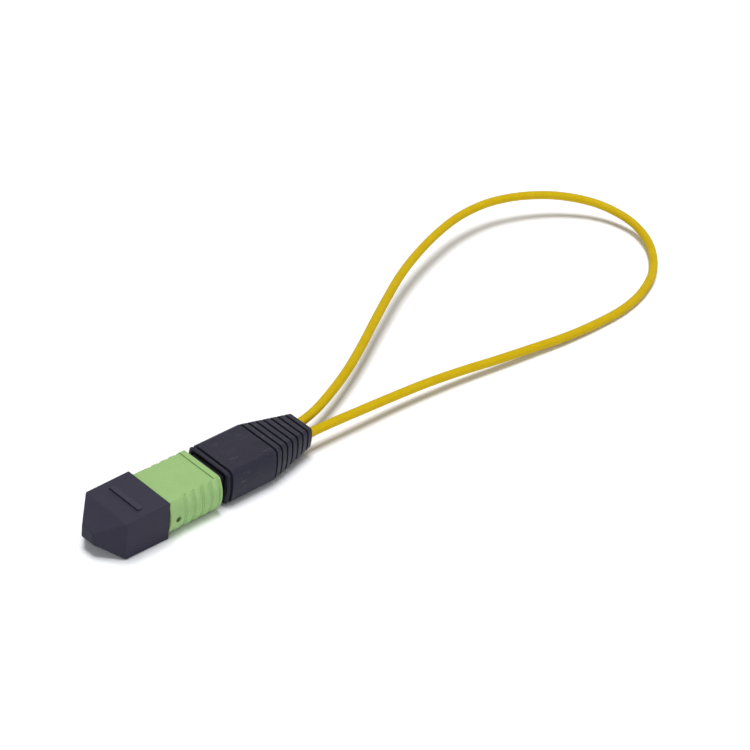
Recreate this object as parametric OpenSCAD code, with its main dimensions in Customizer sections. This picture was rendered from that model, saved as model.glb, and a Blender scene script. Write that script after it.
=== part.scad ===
// Fibre loopback plug: a twelve-fibre push-on connector, with one cord that leaves its boot and comes back.
// X runs from the dust cap to the cord, Z is up, and Z = 0 is the surface that the plug lies on.
// Each part is drawn about the plug's own axis, with X = 0 at the dust cap's rim. Lengths are in mm.

/* [Ferrule] */
// Width of the ferrule's front
ferrule_w = 6.4; // [6.2:0.1:6.6]
// Height of the ferrule's front
ferrule_h = 2.5; // [2.4:0.05:2.6]
// Length of the ferrule with its flange
ferrule_l = 8.0; // [7.6:0.1:8.4]
// Width of the flange that the spring pushes on
flange_w = 7.0; // [6.8:0.1:7.4]
// Height of the flange
flange_h = 3.0; // [2.9:0.05:3.3]
// Length of the flange
flange_l = 2.0; // [1.5:0.1:2.4]
// How far the end face stands out of the inner housing
ferrule_proud = 0.6; // [0.3:0.1:0.9]
// Slant of the polished end face
end_angle = 8; // [0:1:10]
// Bore for a guide pin
pin_hole_d = 0.7; // [0.65:0.01:0.75]
// Distance between the two guide pin bores
pin_pitch = 4.6; // [4.5:0.05:4.8]
// Number of fibres, half of them in each leg of the cord
fibre_count = 12; // [4:2:12]
// Distance between neighbouring fibres
fibre_pitch = 0.25; // [0.24:0.005:0.26]
// Diameter of a bare glass fibre
glass_d = 0.125; // [0.1:0.005:0.15]
// Thickness of the fibre ribbon
ribbon_t = 0.32; // [0.28:0.02:0.4]
// Length of the ribbon behind the ferrule
ribbon_out = 4.2; // [3.9:0.1:4.6]

/* [Spring and keeper] */
// Thickness of the pin keeper plate
keeper_l = 1.2; // [0.9:0.1:1.6]
// Length of the main spring as fitted
spring_l = 6.6; // [6:0.1:8]
// Wire of the main spring
spring_wire = 0.5; // [0.4:0.05:0.55]
// Turns of the main spring
spring_turns = 5.5; // [4.5:0.5:6.5]

/* [Inner housing] */
// Room on each side of the flange
play_y = 0.2; // [0.15:0.05:0.3]
// Room above and below the flange
play_z = 0.4; // [0.3:0.05:0.5]
// Wall on the housing's narrow sides
housing_side = 1.05; // [1:0.05:1.4]
// Wall on the housing's top and bottom
housing_top = 0.9; // [0.8:0.05:1.2]
// Length of housing that stands out of the coupling sleeve
housing_out = 6.7; // [6.2:0.1:7.4]
// Width of the polarity key
key_w = 3.0; // [2.4:0.1:4]
// Height of the polarity key
key_h = 0.8; // [0.6:0.05:0.95]
// Depth of the recesses that an adapter's latches hook into
latch_depth = 0.9; // [0.6:0.05:1.1]
// Length of the latch recesses
latch_l = 2.2; // [1.6:0.1:2.6]

/* [Coupling sleeve] */
// Sliding clearance between the sleeve and the housing
slide_fit = 0.15; // [0.1:0.01:0.2]
// Wall of the sleeve at the crown of its narrow sides
sleeve_side = 1.7; // [1.4:0.05:1.8]
// Wall of the sleeve on top and bottom
sleeve_top = 0.95; // [0.85:0.05:1.3]
// How far the narrow sides bulge out
sleeve_crown = 1.2; // [0.8:0.05:1.3]
// Length of sleeve behind the inner housing
sleeve_over = 0.8; // [0.4:0.1:1.4]
// How far the sleeve is pulled back to unlatch
sleeve_travel = 1.5; // [1:0.1:1.7]
// Length of the raised lip at the rear
lip_l = 1.2; // [0.8:0.1:1.6]
// Height of the raised lip
lip_h = 0.2; // [0.1:0.02:0.26]
// Distance between the grip's deep flutes
grip_pitch = 2.17; // [1.9:0.01:2.3]
// Depth of the deep flutes
grip_depth = 0.3; // [0.2:0.01:0.34]
// Number of deep flutes on each side
grip_count = 4; // [2:1:4]
// Diameter of the small hole in each narrow side
eyelet_d = 1.3; // [0.8:0.1:1.5]
// Outside diameter of a coupling spring
side_spring_d = 1.2; // [1:0.05:1.25]
// Length of a coupling spring as fitted
side_spring_l = 6.2; // [5:0.1:6.4]
// Turns of a coupling spring
side_spring_turns = 9; // [6:1:10]

/* [Dust cap] */
// Wall of the cap
cap_wall = 1.1; // [1:0.05:1.4]
// Gap between the cap's wall and the housing
cap_gap = 0.45; // [0.4:0.05:0.6]
// Length of the straight part
cap_box_l = 10.5; // [9.6:0.1:12]
// Length of the tapered nose
cap_nose_l = 4.5; // [3:0.1:6]
// Width of the flat tip
cap_tip_w = 3.2; // [2:0.1:5]
// Height of the flat tip
cap_tip_h = 2.7; // [1.6:0.1:4]
// Draft of the straight part
cap_draft = 0.5; // [0.2:0.1:1]
// Width of the raised thumb catch
catch_w = 8.5; // [5:0.1:10]
// Height of the thumb catch
catch_h = 0.45; // [0.2:0.05:0.6]

/* [Spring push and crimp] */
// Length of the tongue that plugs into the inner housing
tongue_l = 3.7; // [3.2:0.1:4.4]
// Length of the neck, part of it inside the boot
neck_l = 5.2; // [4.6:0.1:6]
// Width of the post that the yarn is crimped on
post_w = 6.2; // [5.6:0.1:6.6]
// Height of the post
post_h = 3.2; // [2.8:0.1:3.4]
// Wall of the post
post_wall = 0.7; // [0.55:0.05:0.8]
// Length of the post
post_l = 5.1; // [4.4:0.1:5.6]
// Thickness of the yarn under the crimp ring
yarn_t = 0.2; // [0.15:0.01:0.25]
// Wall of the crimp ring
ring_wall = 0.35; // [0.3:0.05:0.45]
// Length of the crimp ring that grips the cord
ring_tail_l = 3.4; // [2.4:0.1:3.8]

/* [Boot] */
// Wall on the boot's narrow sides, at the crown
boot_side = 1.5; // [1.35:0.05:1.8]
// Wall on the boot's top and bottom
boot_top = 1.1; // [1:0.05:1.3]
// Length of the collar at the front
collar_l = 0.7; // [0.7:0.05:1.2]
// Width of the groove behind the collar
collar_groove = 0.65; // [0.3:0.05:0.8]
// Length of the smooth body
body_l = 11.4; // [11:0.1:13]
// Length of the ribbed tail
tail_l = 12.05; // [11.05:0.1:13.45]
// Width of the tail's end
tail_w = 7.2; // [7:0.1:8.4]
// Height of the tail's end
tail_h = 5.0; // [4.4:0.1:5.6]
// Number of grooves between the tail's ribs
rib_count = 7; // [4:1:7]
// Width of a groove between ribs
rib_gap = 0.45; // [0.3:0.05:0.6]
// Depth of a groove between ribs
rib_depth = 0.6; // [0.4:0.05:0.65]

/* [Cord] */
// Diameter of the cord
cord_d = 2.0; // [1.8:0.05:2.1]
// Distance between the cord's two legs in the boot
leg_pitch = 3.5; // [3.3:0.05:3.6]

/* [Hidden] */
$fn = 64;

// Clearances
glue_fit = 0.02;   // between pieces that are glued or crimped
snug_fit = 0.05;   // between pieces pushed together
loose_fit = 0.1;   // between pieces that slide or drop in
cut = 1;           // how far a cutting shape runs past the face that it opens
root = 0.3;        // how far what stands on a wall starts below its face
joined = 0.1;      // how far two shapes of one piece run into each other
slice = 0.01;      // thickness of the outlines that a hull is stretched over

// Cross sections, from the ferrule outwards
cavity_w = flange_w + 2 * play_y;
cavity_h = flange_h + 2 * play_z;
housing_w = cavity_w + 2 * housing_side;
housing_h = cavity_h + 2 * housing_top;
sleeve_bore_w = housing_w + 2 * slide_fit;
sleeve_bore_h = housing_h + 2 * slide_fit;
sleeve_w = sleeve_bore_w + 2 * sleeve_side;
sleeve_h = sleeve_bore_h + 2 * sleeve_top;
cap_cavity_w = housing_w + 2 * cap_gap;
cap_cavity_h = housing_h + 2 * cap_gap;
cap_w = cap_cavity_w + 2 * cap_wall;
cap_h = cap_cavity_h + 2 * cap_wall;
tongue_w = cavity_w - 2 * loose_fit;
tongue_h = cavity_h - 2 * loose_fit;
tongue_edge = 0.25;
neck_w = housing_w - 2 * loose_fit;
neck_h = housing_h - 2 * loose_fit;
boot_w = neck_w + 2 * snug_fit + 2 * boot_side;
boot_h = neck_h + 2 * snug_fit + 2 * boot_top;
axis_z = cap_h / 2;

// Places along the plug
rim_gap = 0.1;
sleeve_x = rim_gap;
housing_x = sleeve_x - housing_out;
ferrule_x = housing_x - ferrule_proud;
ferrule_end_x = ferrule_x + ferrule_l;
flange_x = ferrule_end_x - flange_l;
spring_x = ferrule_end_x + keeper_l;
push_x = spring_x + spring_l;
housing_end_x = push_x + tongue_l;
sleeve_end_x = housing_end_x + sleeve_over;
sleeve_l = sleeve_end_x - sleeve_x;
stop_gap = 0.2;
boot_x = sleeve_end_x + sleeve_travel + stop_gap;
neck_end_x = housing_end_x + neck_l;
post_end_x = neck_end_x + post_l;
collar_end_x = boot_x + collar_l;
body_x = collar_end_x + collar_groove;
tail_x = body_x + body_l;
boot_end_x = tail_x + tail_l;
cap_front_x = -cap_box_l;
cap_tip_x = cap_front_x - cap_nose_l;
mid_x = (cap_tip_x + boot_end_x) / 2;

// Ferrule inside
fibre_row_w = (fibre_count - 1) * fibre_pitch;
ribbon_edge = 0.175;
ribbon_w = fibre_row_w + 2 * ribbon_edge;
pocket_w = ribbon_w + 0.4;
pocket_h = 1.4;
window_lead = 2.6;
window_x = ferrule_x + window_lead;
window_l = 1.9;
window_end_x = window_x + window_l;
window_floor = -0.55;
epoxy_low = 0.1;
fibre_bore_d = glass_d + 0.015;
ribbon_end_x = ferrule_end_x + ribbon_out;
ferrule_edge = 0.15;
ferrule_boot_w = pocket_w - 2 * snug_fit;
ferrule_boot_h = pocket_h - 2 * snug_fit;
ferrule_boot_out = 2.4;

// Main spring, wound round an oval
spring_gap = 0.35;
spring_w = cavity_w - 2 * spring_gap;
spring_h = cavity_h - 2 * spring_gap;
spring_r = (spring_h - spring_wire) / 2;
spring_half = (spring_w - spring_h) / 2;
peg_d = 0.8;
peg_l = 0.6;
peg_wall = 0.3;

// Coupling springs, half in the housing and half in the sleeve
side_wire = 0.25;
side_spring_y = (housing_w + slide_fit) / 2;
side_spring_lead = 4.1;
side_spring_x = sleeve_x + side_spring_lead;
side_groove_d = side_spring_d + 0.3;

// Stops and latches of the housing
bump_back = 2.2;
bump_x = push_x + bump_back;
bump_l = 0.8;
bump_w = 3.0;
bump_h = 0.35;
bump_lead = 0.5;
hook_x = push_x + 0.4;
hook_l = 1.0;
hook_w = 3.2;
hook_h = 0.55;
hook_lead = 0.6;
hook_slack = 0.1;
housing_edge = 0.4;
key_x = housing_x + 0.5;
key_lead = 0.5;
key_end_x = sleeve_x - 0.4;
latch_lead = 3.0;
latch_x = housing_x + latch_lead;
latch_h = 3.2;

// Sleeve outside
crown_r = (pow(sleeve_h / 2, 2) + pow(sleeve_crown, 2)) / (2 * sleeve_crown);
flat_w = sleeve_w - 2 * sleeve_crown;
sleeve_edge = 0.1;
lip_short = 0.4;
flute_r = 1.1;
flute_turn_r = 8.5;
fine_flute_r = 0.5;
fine_flute_depth = 0.07;
fine_flute_lead = 0.75;
first_flute = 4.35;
eyelet_lead = 2.3;
eyelet_x = sleeve_x + eyelet_lead;
eyelet_drop = 0.75;

// Dust cap inside
cap_depth = -ferrule_x + 1.0;
cap_rib_w = 0.6;
cap_rib_h = cap_gap - 0.08;
cap_rib_y = housing_w / 2 - 1.4;
cap_rib_l = cap_depth - 0.8;
cap_round = 0.25;
catch_x = -6.5;
catch_l = 1.6;

// Boot outside and inside
boot_crown = 1.35;
boot_flat = boot_w - 2 * boot_crown;
boot_round = 0.9;
tail_crown = 0.9;
tail_flat = tail_w - 2 * tail_crown;
tail_round = 0.8;
collar_edge = 0.2;
groove_in = 0.55;
taper_in = 0.02;
last_rib_l = 1.2;
rib_pitch = (tail_l - last_rib_l - rib_gap) / (rib_count - 1);
mouth_l = 0.5;
mouth_wall = 0.4;
mouth_corner = 0.6;
slot_y = neck_w / 2 + 0.8;
slot_w = 0.45;
slot_h = 2.4;
snap_x = body_x + 0.7;
snap_l = 0.7;
snap_h = 2.1;
snap_out = 0.5;
cord_bore_d = cord_d + 0.2;
cord_start_x = post_end_x + 0.4;
ring_x = neck_end_x + 0.5;
ring_tail_x = cord_start_x;
ring_end_x = ring_tail_x + ring_tail_l;
ring_bore_w = post_w + 2 * (yarn_t + glue_fit);
ring_bore_h = post_h + 2 * (yarn_t + glue_fit);
ring_w = ring_bore_w + 2 * ring_wall;
ring_h = ring_bore_h + 2 * ring_wall;
boot_room_w = ring_w + 0.8;
boot_room_h = ring_h + 0.6;
boot_room_end_x = ring_end_x + 0.6;
bundle_d = 0.9;
post_grooves = 3;
post_groove_l = 0.4;
post_groove_depth = 0.2;

// The cord's line, on the plug's own origin: out of the boot, round the loop and back, Z above the surface
route = [
    [10.7, 1.75, 4.35], [19, 1.75, 4.35], [27.3, 1.75, 4.35], [34, 3, 4.4], [41.5, 5.7, 4.5],
    [49.5, 9.2, 4.7], [58, 13.6, 5.1], [66.5, 18.4, 5.4], [75, 23.1, 5.7], [84, 27.8, 5.9],
    [93.5, 31.8, 6.1], [103.5, 35.1, 6.3], [113.5, 37.3, 6.3], [123.5, 37.5, 6.2], [133, 35.1, 5.9],
    [141.5, 30.5, 5.2], [148, 23.6, 4], [150.1, 14.8, 2.7], [146.9, 6.3, 1.8], [139.7, -0.8, 1.35],
    [131, -5.1, 1.1], [121.5, -7.3, 1.05], [111.5, -7.7, 1.15], [101.5, -7.3, 1.4], [91.5, -6.2, 1.8],
    [81.5, -5, 2.2], [71.5, -3.7, 2.7], [61.5, -2.8, 3.2], [52, -2.3, 3.5], [43, -2.1, 3.9],
    [35, -1.9, 4.2], [27.3, -1.75, 4.35], [19, -1.75, 4.35], [10.7, -1.75, 4.35]
];
route_steps = 2;
cord_sides = 8;

// ---- shared shapes ----

// A box from x0 to x1, centred on the axis
module block(x0, x1, w, h) {
    translate([x0, -w / 2, -h / 2]) cube([x1 - x0, w, h]);
}

// A flat outline of Y and Z, carried from x0 to x1
module along(x0, x1) {
    translate([x0, 0, 0]) rotate([90, 0, 90]) linear_extrude(height = x1 - x0) children();
}

// An oval: two half rounds joined by straight sides
module oval(w, h) {
    square([w - h, h], center = true);
    for (side = [-1, 1]) translate([side * (w - h) / 2, 0]) circle(d = h);
}

// A rectangle with its corners cut off
module cut_rectangle(w, h, c) {
    polygon([
        [w / 2 - c, h / 2], [w / 2, h / 2 - c], [w / 2, c - h / 2], [w / 2 - c, -h / 2],
        [c - w / 2, -h / 2], [-w / 2, c - h / 2], [-w / 2, h / 2 - c], [c - w / 2, h / 2]
    ]);
}

// A block with chamfered long edges and a lead-in chamfer at its front
module lead_block(x0, x1, w, h, edge, lead) {
    intersection() {
        along(x0, x1) cut_rectangle(w, h, edge);
        translate([0, 0, -h]) linear_extrude(height = 2 * h)
            polygon([[x0, lead - w / 2], [x0 + lead, -w / 2], [x1, -w / 2], [x1, w / 2],
                [x0 + lead, w / 2], [x0, w / 2 - lead]]);
        translate([0, w, 0]) rotate([90, 0, 0]) linear_extrude(height = 2 * w)
            polygon([[x0, lead - h / 2], [x0 + lead, -h / 2], [x1, -h / 2], [x1, h / 2],
                [x0 + lead, h / 2], [x0, h / 2 - lead]]);
    }
}

// A ramp on the top face: outline of X and Z, carried across the width w
module ramp(w, outline) {
    translate([0, w / 2, 0]) rotate([90, 0, 0]) linear_extrude(height = w) polygon(outline);
}

// The same thing on the top and on the bottom
module top_and_bottom() {
    children();
    mirror([0, 0, 1]) children();
}

// The same thing on both narrow sides
module both_sides() {
    children();
    mirror([0, 1, 0]) children();
}

// Outline with a flat top and bottom, rounded corners and convex sides: one quarter, then all of it
function crowned_quarter(w, h, flat, r) =
    let (
        a = flat / 2 - w / 2,
        b = h / 2 - r,
        big = (r * r - a * a - b * b) / (2 * (a + r)),
        low = atan2(b, a + big)
    )
    concat(
        [for (i = [0:4]) let (t = 90 - (90 - low) * i / 4) [flat / 2 + r * cos(t), b + r * sin(t)]],
        [for (i = [1:4]) let (t = low * (1 - i / 4)) [w / 2 - big + big * cos(t), big * sin(t)]]
    );
function crowned(w, h, flat, r) =
    let (q = crowned_quarter(w, h, flat, r), n = len(q))
    concat(
        q,
        [for (i = [n - 2:-1:0]) [q[i][0], -q[i][1]]],
        [for (i = [0:n - 1]) [-q[i][0], -q[i][1]]],
        [for (i = [n - 2:-1:0]) [-q[i][0], q[i][1]]]
    );

// A tube swept along points: the end faces are flat, and each ring is square to the line
function unit(v) = v / norm(v);
function heading(p, i) = unit(p[min(i + 1, len(p) - 1)] - p[max(i - 1, 0)]);
function ring(p, i, r, n, ref) =
    let (t = heading(p, i), s = unit(cross(t, ref)), u = cross(s, t))
    [for (k = [0:n - 1]) let (a = 360 * (k + 0.5) / n) p[i] + r * cos(a) * s + r * sin(a) * u];
module tube(p, d, n, ref) {
    m = len(p);
    polyhedron(
        points = [for (i = [0:m - 1]) each ring(p, i, d / 2, n, ref)],
        faces = concat(
            [[for (k = [n - 1:-1:0]) k]],
            [for (i = [0:m - 2]) for (k = [0:n - 1])
                let (a = i * n + k, b = i * n + (k + 1) % n)
                each [[a, b, a + n], [b, b + n, a + n]]],
            [[for (k = [0:n - 1]) (m - 1) * n + k]]
        ),
        convexity = 10
    );
}

// A smooth line through the points, with a given number of steps from each to the next
function between(a, b, c, d, t) =
    0.5 * (2 * b + (c - a) * t + (2 * a - 5 * b + 4 * c - d) * t * t + (3 * b - 3 * c + d - a) * t * t * t);
function smooth_line(p, steps) = concat(
    [for (i = [0:len(p) - 2]) for (j = [0:steps - 1])
        between(p[max(i - 1, 0)], p[i], p[i + 1], p[min(i + 2, len(p) - 1)], j / steps)],
    [p[len(p) - 1]]
);

// A point on an oval, at the share s of its way round
function oval_point(half, r, s) =
    let (
        whole = 4 * half + 2 * PI * r,
        q = s * whole,
        bend = PI * r
    )
    q < 2 * half ? [half - q, r]
    : q < 2 * half + bend ? let (a = 90 + 180 * (q - 2 * half) / bend) [r * cos(a) - half, r * sin(a)]
    : q < 4 * half + bend ? [q - 3 * half - bend, -r]
    : let (a = 270 + 180 * (q - 4 * half - bend) / bend) [half + r * cos(a), r * sin(a)];

// The line of a wound spring: closed turns at both ends and open turns between them
function wound(x0, length, wire, turns, per_turn, half, r) =
    let (
        n = round(turns * per_turn),
        closed = 0.75 / turns,
        rise = 0.4 * wire,
        open = (length - wire - 2 * rise) / (1 - 2 * closed)
    )
    [for (i = [0:n])
        let (
            s = i / n,
            x = s < closed ? rise * s / closed
                : s > 1 - closed ? length - wire - rise * (1 - s) / closed
                : rise + open * (s - closed),
            p = oval_point(half, r, s * turns - floor(s * turns))
        )
        [x0 + wire / 2 + x, p[0], p[1]]];

// ---- dust cap ----

module cap_slice(x, w, h) {
    along(x, x + slice) offset(r = cap_round, $fn = 24) square([w - 2 * cap_round, h - 2 * cap_round], center = true);
}

// Height of the drafted top above the axis at a place along the cap
function cap_top(x) = cap_h / 2 + x * tan(cap_draft);

module dust_cap() {
    shrink = 2 * cap_box_l * tan(cap_draft);
    color("#41414d") difference() {
        union() {
            hull() {
                cap_slice(-slice, cap_w, cap_h);
                cap_slice(cap_front_x, cap_w - shrink, cap_h - shrink);
                cap_slice(cap_tip_x, cap_tip_w, cap_tip_h);
            }
            ramp(catch_w, [
                [catch_x, (cap_h - cap_wall) / 2], [catch_x, cap_top(catch_x) + catch_h],
                [catch_x + catch_l, cap_top(catch_x + catch_l)], [catch_x + catch_l, (cap_h - cap_wall) / 2]
            ]);
        }
        difference() {
            block(-cap_depth, cut, cap_cavity_w, cap_cavity_h);
            // grip ribs that hold the cap on the housing
            top_and_bottom() both_sides()
                translate([-cap_depth, cap_rib_y, cap_cavity_h / 2 - cap_rib_h]) cube([cap_rib_l, cap_rib_w, cap_gap]);
            both_sides() translate([-cap_depth, cap_cavity_w / 2 - cap_rib_h, -cap_rib_w / 2])
                cube([cap_rib_l, cap_gap, cap_rib_w]);
        }
        // channel for the key
        translate([-cap_depth, -key_w / 2 - 2 * loose_fit, 0])
            cube([cap_depth + cut, key_w + 4 * loose_fit, housing_h / 2 + key_h + loose_fit]);
    }
}

// ---- coupling sleeve ----

// What is turned about a line beside the axis, so that its rim at the radius r crowns one narrow side
module turned_side(r) {
    translate([sleeve_x, sleeve_w / 2 - r, 0]) rotate([0, 90, 0]) rotate_extrude($fn = 128) children();
}

// All that one narrow side's crown leaves of the sleeve
module crowned_side() {
    turned_side(crown_r) square([crown_r, sleeve_l]);
}

// The grip's flutes on one narrow side, shallower towards the sleeve's edges
module flutes() {
    turned_side(flute_turn_r) {
        for (i = [0:grip_count - 1])
            translate([flute_turn_r + flute_r - grip_depth, first_flute + i * grip_pitch]) circle(r = flute_r);
        for (i = [0:grip_count])
            translate([flute_turn_r + fine_flute_r - fine_flute_depth,
                first_flute - fine_flute_lead + i * grip_pitch]) circle(r = fine_flute_r);
    }
}

module side_spring_channel(x0, x1) {
    both_sides() translate([x0, side_spring_y, 0]) rotate([0, 90, 0]) cylinder(d = side_groove_d, h = x1 - x0);
}

module coupling_sleeve() {
    color("#96c872") difference() {
        union() {
            intersection() {
                along(sleeve_x, sleeve_end_x) cut_rectangle(sleeve_w, sleeve_h, sleeve_crown + sleeve_edge);
                crowned_side();
                mirror([0, 1, 0]) crowned_side();
            }
            // raised lip at the rear
            block(sleeve_end_x - lip_l, sleeve_end_x, flat_w - 2 * lip_short, sleeve_h + 2 * lip_h);
        }
        both_sides() flutes();
        block(sleeve_x - cut, sleeve_end_x + cut, sleeve_bore_w, sleeve_bore_h);
        side_spring_channel(side_spring_x, side_spring_x + side_spring_l + loose_fit);
        // pockets that the housing's stops run in
        top_and_bottom() translate([bump_x - sleeve_travel - loose_fit, -bump_w / 2 - loose_fit, 0])
            cube([bump_l + sleeve_travel + 2 * loose_fit, bump_w + 2 * loose_fit, housing_h / 2 + bump_h + loose_fit]);
        translate([eyelet_x, 0, -eyelet_drop]) rotate([90, 0, 0]) cylinder(d = eyelet_d, h = 2 * sleeve_w, center = true);
    }
}

module coupling_spring() {
    color("#b8bcc2") translate([0, side_spring_y, 0]) tube(
        wound(side_spring_x, side_spring_l, side_wire, side_spring_turns, 10, 0, (side_spring_d - side_wire) / 2),
        side_wire, 5, [1, 0, 0]);
}
module coupling_spring_left() { coupling_spring(); }
module coupling_spring_right() { mirror([0, 1, 0]) coupling_spring(); }

// ---- inner housing ----

module inner_housing() {
    color("#2c2c34") difference() {
        union() {
            lead_block(housing_x, housing_end_x, housing_w, housing_h, housing_edge, housing_edge);
            // polarity key
            ramp(key_w, [
                [key_x, housing_h / 2 - root], [key_x, housing_h / 2 + key_h - key_lead],
                [key_x + key_lead, housing_h / 2 + key_h], [key_end_x, housing_h / 2 + key_h],
                [key_end_x, housing_h / 2 - root]
            ]);
            // stops that keep the coupling sleeve on
            top_and_bottom() ramp(bump_w, [
                [bump_x, housing_h / 2 - root], [bump_x, housing_h / 2], [bump_x + bump_lead, housing_h / 2 + bump_h],
                [bump_x + bump_l, housing_h / 2 + bump_h], [bump_x + bump_l, housing_h / 2 - root]
            ]);
        }
        block(housing_x - cut, flange_x + cut, ferrule_w + 2 * loose_fit, ferrule_h + 2 * loose_fit);
        block(flange_x, housing_end_x + cut, cavity_w, cavity_h);
        side_spring_channel(side_spring_x, side_spring_x + side_spring_l);
        both_sides() translate([latch_x, housing_w / 2 - latch_depth, -latch_h / 2])
            cube([latch_l, latch_depth + cut, latch_h]);
        // windows for the spring push's hooks
        block(hook_x - loose_fit, hook_x + hook_l + hook_slack, hook_w + 4 * loose_fit, housing_h + 2 * cut);
    }
}

// ---- ferrule and fibres ----

// Everything in front of the slanted plane that the end face and the fibres are polished to
module polish() {
    translate([ferrule_x, 0, 0]) rotate([0, end_angle, 0])
        translate([-ferrule_l, -ferrule_w, -ferrule_w]) cube([ferrule_l, 2 * ferrule_w, 2 * ferrule_w]);
}

// One round rod for each fibre
module fibre_row(d, x0, x1) {
    for (i = [0:fibre_count - 1])
        translate([x0, i * fibre_pitch - fibre_row_w / 2, 0]) rotate([0, 90, 0]) cylinder(d = d, h = x1 - x0, $fn = 16);
}

module ferrule() {
    color("#3a3d3f") difference() {
        union() {
            along(ferrule_x - cut / 2, ferrule_end_x) cut_rectangle(ferrule_w, ferrule_h, ferrule_edge);
            along(flange_x, ferrule_end_x) cut_rectangle(flange_w, flange_h, ferrule_edge);
        }
        polish();
        for (side = [-1, 1]) translate([ferrule_x - cut, side * pin_pitch / 2, 0]) rotate([0, 90, 0])
            cylinder(d = pin_hole_d, h = ferrule_l + 2 * cut);
        fibre_row(fibre_bore_d, ferrule_x - cut, window_x + joined);
        translate([window_x, -pocket_w / 2, window_floor]) cube([window_l, pocket_w, ferrule_h]);
        block(window_end_x - joined, ferrule_end_x + cut, pocket_w, pocket_h);
    }
}

module ferrule_epoxy() {
    color("#c9a24a") difference() {
        translate([window_x + glue_fit, glue_fit - pocket_w / 2, window_floor + glue_fit])
            cube([window_l - 2 * glue_fit, pocket_w - 2 * glue_fit, ferrule_h / 2 - window_floor - epoxy_low]);
        fibre_row(fibre_bore_d, window_x - cut, window_end_x + cut);
    }
}

module glass_fibres() {
    color("#dfe8ec") difference() {
        fibre_row(glass_d, ferrule_x - cut / 2, window_end_x);
        polish();
    }
}

module fibre_ribbon() {
    color("#8fc6d8") block(window_end_x, ribbon_end_x, ribbon_w, ribbon_t);
}

module ferrule_boot() {
    color("#26262b") difference() {
        block(window_end_x + snug_fit, ferrule_end_x + ferrule_boot_out, ferrule_boot_w, ferrule_boot_h);
        block(window_end_x - cut, ferrule_end_x + ferrule_boot_out + cut, ribbon_w + 2 * glue_fit, ribbon_t + 2 * glue_fit);
    }
}

module pin_keeper() {
    color("#2f3036") difference() {
        union() {
            block(ferrule_end_x, spring_x, cavity_w - 4 * loose_fit, cavity_h - 4 * loose_fit);
            for (side = [-1, 1]) translate([spring_x - joined, side * pin_pitch / 2, 0]) rotate([0, 90, 0])
                cylinder(d = peg_d, h = peg_l + joined);
        }
        block(ferrule_end_x - cut, spring_x + cut, pocket_w, pocket_h + 2 * loose_fit);
        // sockets behind the guide pin bores
        for (side = [-1, 1]) translate([ferrule_end_x - cut, side * pin_pitch / 2, 0]) rotate([0, 90, 0])
            cylinder(d = pin_hole_d + 2 * snug_fit, h = cut + keeper_l - peg_wall);
    }
}

module main_spring() {
    color("#b8bcc2") tube(
        wound(spring_x, spring_l, spring_wire, spring_turns, 20, spring_half, spring_r), spring_wire, 6, [1, 0, 0]);
}

// ---- spring push, yarn and crimp ring ----

module spring_push() {
    color("#2c2c34") difference() {
        union() {
            lead_block(push_x, housing_end_x + joined, tongue_w, tongue_h, tongue_edge, tongue_edge);
            top_and_bottom() ramp(hook_w, [
                [hook_x, tongue_h / 2 - root], [hook_x, tongue_h / 2],
                [hook_x + hook_lead, tongue_h / 2 + hook_h], [hook_x + hook_l, tongue_h / 2 + hook_h],
                [hook_x + hook_l, tongue_h / 2 - root]
            ]);
            along(housing_end_x, neck_end_x) cut_rectangle(neck_w, neck_h, housing_edge);
            along(neck_end_x - joined, post_end_x) oval(post_w, post_h);
            // snaps that hold the boot
            both_sides() along(snap_x - snap_l / 2 + snug_fit, snap_x + snap_l / 2 - snug_fit)
                translate([neck_w / 2 - root, 2 * snug_fit - snap_h / 2])
                    square([root + snap_out, snap_h - 4 * snug_fit]);
        }
        along(push_x - cut, post_end_x + cut) oval(post_w - 2 * post_wall, post_h - 2 * post_wall);
        // grooves that the yarn is pressed into
        for (i = [1:post_grooves]) translate([neck_end_x + i * post_l / (post_grooves + 1), 0, 0])
            along(-post_groove_l / 2, post_groove_l / 2) difference() {
                oval(post_w + cut, post_h + cut);
                oval(post_w - 2 * post_groove_depth, post_h - 2 * post_groove_depth);
            }
    }
}

module aramid_half() {
    color("#e3c24c") intersection() {
        along(ring_x + loose_fit, post_end_x - loose_fit) difference() {
            oval(post_w + 2 * yarn_t, post_h + 2 * yarn_t);
            oval(post_w + 2 * glue_fit, post_h + 2 * glue_fit);
        }
        translate([ring_x, glue_fit, -post_h]) cube([post_l, post_w, 2 * post_h]);
    }
}
module aramid_left() { aramid_half(); }
module aramid_right() { mirror([0, 1, 0]) aramid_half(); }

module crimp_ring() {
    tail_bore_w = leg_pitch + cord_d + 2 * snug_fit;
    tail_bore_h = cord_d + 2 * snug_fit;
    color("#c2c4c8") difference() {
        union() {
            along(ring_x, ring_tail_x) oval(ring_w, ring_h);
            along(ring_tail_x - joined, ring_end_x) oval(tail_bore_w + 2 * ring_wall, tail_bore_h + 2 * ring_wall);
        }
        along(ring_x - cut, post_end_x) oval(ring_bore_w, ring_bore_h);
        along(post_end_x - joined, ring_end_x + cut) oval(tail_bore_w, tail_bore_h);
    }
}

// A fibre bundle eases from the ribbon's edge out to its leg of the cord
module fibre_bundle() {
    near_y = ribbon_w / 4;
    run = cord_start_x - ribbon_end_x;
    color("#8fc6d8") tube(
        [for (i = [0:6]) let (s = i / 6, e = s * s * (3 - 2 * s))
            [ribbon_end_x + run * s, near_y + (leg_pitch / 2 - near_y) * e, 0]],
        bundle_d, 8, [0, 0, 1]);
}
module fibre_bundle_left() { fibre_bundle(); }
module fibre_bundle_right() { mirror([0, 1, 0]) fibre_bundle(); }

// ---- boot and cord ----

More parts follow.
